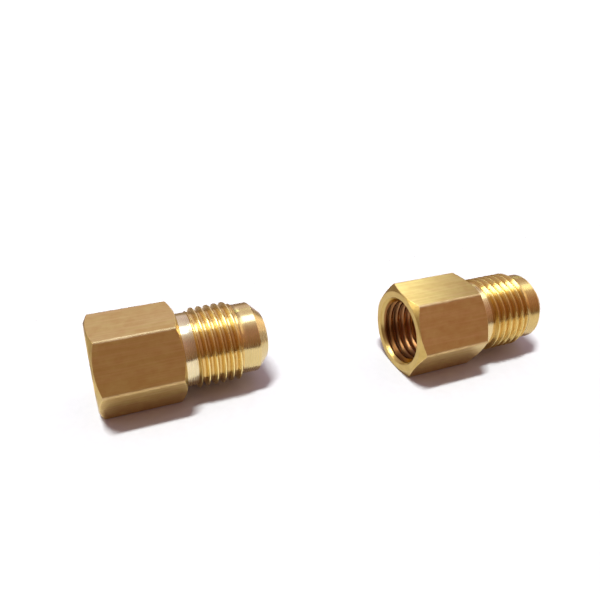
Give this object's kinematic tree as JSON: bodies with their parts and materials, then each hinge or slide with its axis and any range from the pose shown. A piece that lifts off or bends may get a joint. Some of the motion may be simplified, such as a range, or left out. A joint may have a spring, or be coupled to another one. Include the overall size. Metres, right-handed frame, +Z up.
{
  "type": "flare fitting",
  "caption": "Brass hexagonal adapters with an internal thread at one end and an externally threaded 45 degree flare nose at the other, lying side by side.",
  "frame": {"origin": "bottom centre of the two fittings' common bounding box, on the surface that they lie on", "axes": "+X along both fittings towards their flare noses, +Z up, -Y towards the front"},
  "size_m": [0.0756, 0.0232, 0.014],
  "materials": {
    "turned_brass": "satin drawn flats, bright turned neck, collar and threads"
  },
  "bodies": {
    "left_fitting": {"left_fitting": "turned_brass"},
    "right_fitting": {"right_fitting": "turned_brass"}
  },
  "joints": [
    {"name": "right_fitting_lift", "type": "slide", "parent": "left_fitting", "child": "right_fitting", "axis": [0, 0, 1], "range_m": [0, 0.04]}
  ]
}
